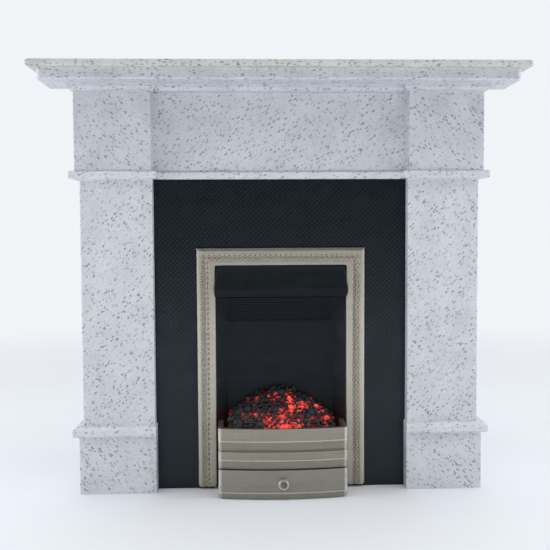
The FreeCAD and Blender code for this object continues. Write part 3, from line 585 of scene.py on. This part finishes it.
def build_frame():
    ST = 0.085
    xs = spaced(-FW, -FW + 0.5, ST) + spaced(-FW + 0.5, -FI, ST) + spaced(-FI, FI, ST) + \
        spaced(FI, FW - 0.5, ST) + spaced(FW - 0.5, FW, ST) + [FW]
    zs = spaced(FZ0, FZ0 + 0.5, ST) + spaced(FZ0 + 0.5, FZI, ST) + spaced(FZI, FZ1 - 0.5, ST) + \
        spaced(FZ1 - 0.5, FZ1, ST) + [FZ1]
    nx, nz = len(xs), len(zs)
    inner = lambda i, j: (abs(0.5 * (xs[i] + xs[i + 1])) < FI) and 0.5 * (zs[j] + zs[j + 1]) < FZI
    verts, idx, back = [], {}, {}
    faces, deep, rim_light_values = [], [], []

    def foot(x, z):
        """Round the four bottom corners of the legs."""
        if z >= FZ0 + RF:
            return x, z
        for cx, sg in ((FW - RF, 1), (FI + RF, -1)):
            dx, dz = (abs(x) - cx) * sg, FZ0 + RF - z
            if dx > 0:
                k = max(dx, dz) / math.hypot(dx, dz)
                return math.copysign(cx + sg * dx * k, x), FZ0 + RF - dz * k
        return x, z

    def vid(i, j):
        k = (i, j)
        if k not in idx:
            x, z = xs[i], zs[j]
            r = 0.22
            # small round on the inner edge
            hh, dd, rr = frame_height(x if abs(x) > FI + 1e-6 or z > FZI - 1e-6 else math.copysign(FI + 1e-4, x),
                                      z)
            if hh is None:
                hh = FT
            if z < FZI + 1e-6:
                e = abs(x) - FI
            elif abs(x) < FI:
                e = z - FZI
            else:
                e = math.hypot(max(0, abs(x) - FI), max(0, z - FZI))
            if e < r:
                hh -= r - math.sqrt(max(0.0, r * r - (r - e) ** 2))
            idx[k] = len(verts)
            fx, fz = foot(x, z)
            verts.append((fx * MM, y_of(hh) * MM, fz * MM))
            deep.append(dd)
            rim_light_values.append(rr)
        return idx[k]

    def bid(i, j):
        k = (i, j)
        if k not in back:
            back[k] = len(verts)
            fx, fz = foot(xs[i], zs[j])
            verts.append((fx * MM, y_of(0.0) * MM, fz * MM))
            deep.append(0.3)
            rim_light_values.append(0.3)
        return back[k]

    used = [[not inner(i, j) for j in range(nz - 1)] for i in range(nx - 1)]
    for i in range(nx - 1):
        for j in range(nz - 1):
            if not used[i][j]:
                continue
            faces.append((vid(i, j), vid(i + 1, j), vid(i + 1, j + 1), vid(i, j + 1)))
            faces.append((bid(i, j), bid(i, j + 1), bid(i + 1, j + 1), bid(i + 1, j)))
            for (di, dj), (a, b) in (((-1, 0), ((i, j), (i, j + 1))), ((1, 0), ((i + 1, j + 1), (i + 1, j))),
                                     ((0, -1), ((i + 1, j), (i, j))), ((0, 1), ((i, j + 1), (i + 1, j + 1)))):
                ii, jj = i + di, j + dj
                if 0 <= ii < nx - 1 and 0 <= jj < nz - 1 and used[ii][jj]:
                    continue
                faces.append((vid(*a), vid(*b), bid(*b), bid(*a)))
    o = mesh_object("trim_frame_chased", verts, faces, nickel_frame, "surround")
    for nm, vals in (("deep", deep), ("rim_light_and_shade", rim_light_values)):
        o.data.attributes.new(nm, "FLOAT", "POINT").data.foreach_set("value", np.array(vals, np.float32))
    return o


frame_piece = build_frame()
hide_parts("trim_frame")


# ---------------------------------------------------------------- coals and embers
BK_W, BK_T, BK_BF, BK_CF = 15.34, 1.14, 9.97, 8.57
XH, QB, QF = 13.2, -4.2, 8.25


def mound(x, q):
    t = min(1.0, max(0.0, (q - QB) / (QF - QB)))
    a = min(1.0, abs(x) / XH)
    top = 24.3 - 6.1 * (abs(x + 0.4) / 12.0) ** 1.55
    return max(13.4, top - (t ** 1.5) * (7.4 - 4.0 * a * a))


def front_limit(x):
    s = BK_BF - BK_CF
    R = (BK_W ** 2 + s * s) / (2 * s)
    return BK_BF - BK_T - R + math.sqrt(R * R - x * x) - 0.22


# where the glow is strongest, in the front view: x, z, reach x, reach z, strength
HOT = [(2.3, 21.6, 0.9, 2.4, 1.0), (0.2, 19.0, 1.3, 1.2, 1.0), (0.6, 16.9, 2.0, 1.4, 1.1),
       (-2.6, 16.4, 1.8, 1.2, 0.95), (-4.6, 18.6, 2.6, 0.8, 0.8), (4.6, 20.6, 1.9, 0.7, 1.0),
       (3.9, 16.9, 0.9, 1.6, 1.0), (9.6, 19.5, 1.6, 1.4, 0.72), (11.0, 17.3, 1.4, 1.4, 0.62),
       (-2.0, 22.6, 2.4, 0.8, 0.62), (-6.6, 21.6, 2.2, 0.9, 0.45), (8.5, 21.3, 2.4, 0.7, 0.55),
       (6.8, 17.8, 1.4, 0.8, 0.6), (-8.0, 18.2, 2.0, 0.7, 0.5), (-9.6, 16.0, 2.0, 0.8, 0.35),
       (7.0, 15.6, 1.6, 0.7, 0.6), (-12.4, 18.5, 0.5, 2.0, 0.35)]


def glow_at(x, z):
    g = 0.22
    for hx, hz, rx, rz, s in HOT:
        g = max(g, s * math.exp(-(((x - hx) / (1.42 * rx)) ** 2 + ((z - hz) / (1.42 * rz)) ** 2)))
    return g


def lump(x, q, k, seed):
    return noise.noise(Vector((x * k + seed, q * k - seed, seed * 0.37)))


def build_embers():
    NX, NQ = 150, 70
    verts, faces, glow = [], [], []
    for i in range(NX):
        x = -XH + 0.05 + (2 * XH - 0.1) * i / (NX - 1)
        for j in range(NQ):
            q = QB + 0.05 + (front_limit(x) - QB - 0.1) * j / (NQ - 1)
            edge = min(1.0, min(i, NX - 1 - i, j, NQ - 1 - j) / 4.0)
            h = 0.95 * lump(x, q, 0.85, 3.0) + 0.55 * lump(x, q, 1.9, 8.0) + 0.25 * lump(x, q, 4.2, 1.0)
            z = mound(x, q) - 0.85 + h * edge
            verts.append((x * MM, y_of(q) * MM, z * MM))
            glow.append(glow_at(x, z + 0.5))
    top = NX * NQ
    for i in range(NX):
        x = -XH + 0.05 + (2 * XH - 0.1) * i / (NX - 1)
        for j in range(NQ):
            q = QB + 0.05 + (front_limit(x) - QB - 0.1) * j / (NQ - 1)
            verts.append((x * MM, y_of(q) * MM, 13.6 * MM))
            glow.append(0.05)
    v = lambda i, j, b=0: b + i * NQ + j
    for i in range(NX - 1):
        for j in range(NQ - 1):
            faces.append((v(i, j), v(i, j + 1), v(i + 1, j + 1), v(i + 1, j)))
            faces.append((v(i, j, top), v(i + 1, j, top), v(i + 1, j + 1, top), v(i, j + 1, top)))
    ring = [(i, 0) for i in range(NX)] + [(NX - 1, j) for j in range(1, NQ)] + \
           [(i, NQ - 1) for i in range(NX - 2, -1, -1)] + [(0, j) for j in range(NQ - 2, 0, -1)]
    for k in range(len(ring)):
        a, b = ring[k], ring[(k + 1) % len(ring)]
        faces.append((v(*a), v(*b), v(*b, top), v(*a, top)))
    o = mesh_object("ember_lumps", verts, faces, ember_mat, "surround")
    att = o.data.attributes.new("glow", "FLOAT", "POINT")
    att.data.foreach_set("value", np.array(glow, np.float32))
    return o


def rock_variants(count, rng):
    out = []
    for k in range(count):
        bm = bmesh.new()
        bmesh.ops.create_icosphere(bm, subdivisions=3, radius=1.0)
        sx, sy, sz = rng.uniform(0.8, 1.25), rng.uniform(0.75, 1.1), rng.uniform(0.65, 1.0)
        off = Vector((rng.uniform(0, 50), rng.uniform(0, 50), rng.uniform(0, 50)))
        for v in bm.verts:
            n = v.co.normalized()
            r = 1.0 + 0.40 * noise.noise(n * 1.5 + off) + 0.36 * noise.noise(n * 3.1 + off * 1.3) \
                + 0.22 * noise.noise(n * 6.4 - off)
            v.co = Vector((n.x * sx, n.y * sy, n.z * sz)) * r
        out.append((np.array([v.co[:] for v in bm.verts]), [[x.index for x in f.verts] for f in bm.faces]))
        bm.free()
    return out


def build_coals():
    rng = random.Random(41)
    rocks = rock_variants(10, rng)
    spots = []
    tries = 0
    while tries < 26000:
        tries += 1
        x = rng.uniform(-12.6, 12.6)
        q = rng.uniform(QB + 0.5, front_limit(x) - 0.45)
        z = mound(x, q)
        big = rng.random() < 0.34
        r = rng.uniform(0.85, 1.25) if big else rng.uniform(0.40, 0.78)
        r = min(r, XH - abs(x) + 0.25)
        g = glow_at(x, z)
        if rng.random() < g * 1.10 - 0.08:
            continue
        if g > 0.62 and r > 0.66:
            continue
        if any((x - a) ** 2 + (q - b) ** 2 + (z - c) ** 2 < (0.80 * (r + s)) ** 2 for a, b, c, s in spots):
            continue
        if g > 0.5:
            r *= 0.8
        spots.append((x, q, z, r))
    verts, faces = [], []
    for x, q, z, r in spots:
        co, fs = rocks[rng.randrange(len(rocks))]
        e = Matrix.Rotation(rng.uniform(0, 6.28), 3, "Z") @ Matrix.Rotation(rng.uniform(0, 6.28), 3, "X")
        p = (co @ np.array(e)) * r
        zz = z - 0.28 * r + rng.uniform(-0.25, 0.4)
        c = np.array([x, y_of(q), zz])
        p = p + c
        p[:, 0] = np.clip(p[:, 0], -13.25, 13.25)
        p[:, 1] = np.clip(p[:, 1], y_of(front_limit(x) + 0.05), y_of(QB) - 0.02)
        base = len(verts)
        verts.extend((p * MM).tolist())
        faces.extend([[base + i for i in f] for f in fs])
    o = mesh_object("coal_nuggets", verts, faces, coal_mat, "surround")
    return o


def build_live():
    """Small lumps of the glowing mass that stand up between the coals."""
    rng = random.Random(77)
    rocks = rock_variants(6, rng)
    verts, faces, glow, spots = [], [], [], []
    tries = 0
    while tries < 9000:
        tries += 1
        x = rng.uniform(-12.4, 12.4)
        q = rng.uniform(QB + 0.6, front_limit(x) - 0.5)
        z = mound(x, q)
        g = glow_at(x, z)
        if rng.random() > (g - 0.28) * 1.3:
            continue
        r = rng.uniform(0.38, 0.95)
        if any((x - a) ** 2 + (q - b) ** 2 + (z - c) ** 2 < (0.85 * (r + t)) ** 2 for a, b, c, t in spots):
            continue
        spots.append((x, q, z, r))
        co, fs = rocks[rng.randrange(len(rocks))]
        e = Matrix.Rotation(rng.uniform(0, 6.28), 3, "Z") @ Matrix.Rotation(rng.uniform(0, 6.28), 3, "X")
        p = (co @ np.array(e)) * r + np.array([x, y_of(q), z - 0.35 * r + rng.uniform(-0.5, 0.1)])
        p[:, 0] = np.clip(p[:, 0], -13.1, 13.1)
        p[:, 1] = np.clip(p[:, 1], y_of(front_limit(x) + 0.04), y_of(QB) - 0.04)
        base = len(verts)
        verts.extend((p * MM).tolist())
        faces.extend([[base + i for i in f] for f in fs])
        up = (co @ np.array(e))[:, 2]
        glow.extend((g * rng.uniform(0.75, 1.15) * (0.72 + 0.28 * up)).tolist())
    o = mesh_object("ember_live_lumps", verts, faces, ember_mat, "surround")
    att = o.data.attributes.new("glow", "FLOAT", "POINT")
    att.data.foreach_set("value", np.array(glow, np.float32))
    return o


embers = build_embers()
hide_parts("ember_bed")
live = build_live()
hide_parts("ember_bed")
coals = build_coals()
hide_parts("coal_bed")


# ---------------------------------------------------------------- stage
def disc(name, r0, rings, segs, z):
    verts, faces = [(0, 0, z)], []
    for k in range(1, rings + 1):
        r = r0 * (k / rings) ** 1.6
        for s in range(segs):
            a = 2 * math.pi * s / segs
            verts.append((r * math.cos(a), r * math.sin(a), z))
    for s in range(segs):
        faces.append((0, 1 + s, 1 + (s + 1) % segs))
    for k in range(rings - 1):
        b = 1 + k * segs
        for s in range(segs):
            t = (s + 1) % segs
            faces.append((b + s, b + segs + s, b + segs + t, b + t))
    me = bpy.data.meshes.new(name)
    me.from_pydata(verts, [], faces)
    me.update()
    o = bpy.data.objects.new(name, me)
    bpy.context.scene.collection.objects.link(o)
    return o


floor = disc("floor", 3.0, 24, 96, -0.00004)
fm = bpy.data.materials.new("floor_paper")
fm.use_nodes = True
t = fm.node_tree
bs = t.nodes["Principled BSDF"]
bs.inputs["Roughness"].default_value = 0.85
bs.inputs["Specular IOR Level"].default_value = 0.2
tc = t.nodes.new("ShaderNodeTexCoord")
nz = t.nodes.new("ShaderNodeTexNoise")
nz.inputs["Scale"].default_value = 40
t.links.new(tc.outputs["Object"], nz.inputs["Vector"])
rp = t.nodes.new("ShaderNodeValToRGB")
rp.color_ramp.elements[0].color = (0.80, 0.82, 0.86, 1)
rp.color_ramp.elements[1].color = (0.83, 0.85, 0.89, 1)
t.links.new(nz.outputs["Fac"], rp.inputs["Fac"])
t.links.new(rp.outputs["Color"], bs.inputs["Base Color"])
em_n = t.nodes.new("ShaderNodeEmission")
WORLD = (0.885, 0.905, 0.935)
em_n.inputs["Color"].default_value = (*WORLD, 1)
em_n.inputs["Strength"].default_value = 1.0
ln_n = t.nodes.new("ShaderNodeVectorMath")
ln_n.operation = "LENGTH"
t.links.new(tc.outputs["Object"], ln_n.inputs[0])
mr = t.nodes.new("ShaderNodeMapRange")
mr.interpolation_type = "SMOOTHSTEP"
mr.inputs["From Min"].default_value = 0.10
mr.inputs["From Max"].default_value = 0.38
t.links.new(ln_n.outputs["Value"], mr.inputs["Value"])
mx = t.nodes.new("ShaderNodeMixShader")
t.links.new(mr.outputs["Result"], mx.inputs["Fac"])
t.links.new(bs.outputs["BSDF"], mx.inputs[1])
t.links.new(em_n.outputs["Emission"], mx.inputs[2])
t.links.new(mx.outputs["Shader"], t.nodes["Material Output"].inputs["Surface"])
floor.data.materials.append(fm)

world = bpy.data.worlds.new("studio")
bpy.context.scene.world = world
world.use_nodes = True
wt = world.node_tree
bg = wt.nodes["Background"]
bg.inputs["Color"].default_value = (*WORLD, 1)
wtc = wt.nodes.new("ShaderNodeTexCoord")
wsep = wt.nodes.new("ShaderNodeSeparateXYZ")
wt.links.new(wtc.outputs["Generated"], wsep.inputs[0])
wfr = wt.nodes.new("ShaderNodeMapRange")            # 1 towards the room in front
wfr.interpolation_type = "SMOOTHSTEP"
wfr.inputs["From Min"].default_value = 0.50
wfr.inputs["From Max"].default_value = -0.95
wfr.inputs["To Min"].default_value = 1.0
wfr.inputs["To Max"].default_value = 0.12
wt.links.new(wsep.outputs["Y"], wfr.inputs["Value"])
wup = wt.nodes.new("ShaderNodeMapRange")
wup.interpolation_type = "SMOOTHSTEP"
wup.inputs["From Min"].default_value = 0.35
wup.inputs["From Max"].default_value = 0.95
wup.inputs["To Min"].default_value = 1.0
wup.inputs["To Max"].default_value = 1.05
wt.links.new(wsep.outputs["Z"], wup.inputs["Value"])
wmul = wt.nodes.new("ShaderNodeMath")
wmul.operation = "MULTIPLY"
wt.links.new(wfr.outputs["Result"], wmul.inputs[0])
wt.links.new(wup.outputs["Result"], wmul.inputs[1])
wlp = wt.nodes.new("ShaderNodeLightPath")
weye = wt.nodes.new("ShaderNodeMath")
weye.operation = "MAXIMUM"
wt.links.new(wmul.outputs[0], weye.inputs[0])
wt.links.new(wlp.outputs["Is Camera Ray"], weye.inputs[1])
wt.links.new(weye.outputs[0], bg.inputs["Strength"])


def area(name, loc, target, size, watts, colour=(1, 1, 1), visible=False):
    ld = bpy.data.lights.new(name, "AREA")
    ld.shape = "RECTANGLE"
    ld.size, ld.size_y = size
    ld.energy = watts
    ld.color = colour
    o = bpy.data.objects.new(name, ld)
    bpy.context.scene.collection.objects.link(o)
    o.location = loc
    o.rotation_mode = "QUATERNION"
    o.rotation_quaternion = (Vector(target) - Vector(loc)).to_track_quat("-Z", "Y")
    o.visible_camera = visible
    return o


area("low_front", (-0.01, -0.110, 0.020), (-0.01, 0.0, 0.120), (0.30, 0.035), 0.050, (1.0, 0.985, 0.97))
for sx in (-1, 1):
    area("side_%s" % ("left" if sx < 0 else "right"), (sx * 0.40, -0.045, 0.10), (0, 0, 0.05), (0.26, 0.30), 1.0)
area("top_front", (0.02, -0.20, 0.46), (0, -0.02, 0.02), (0.46, 0.26), 0.66)
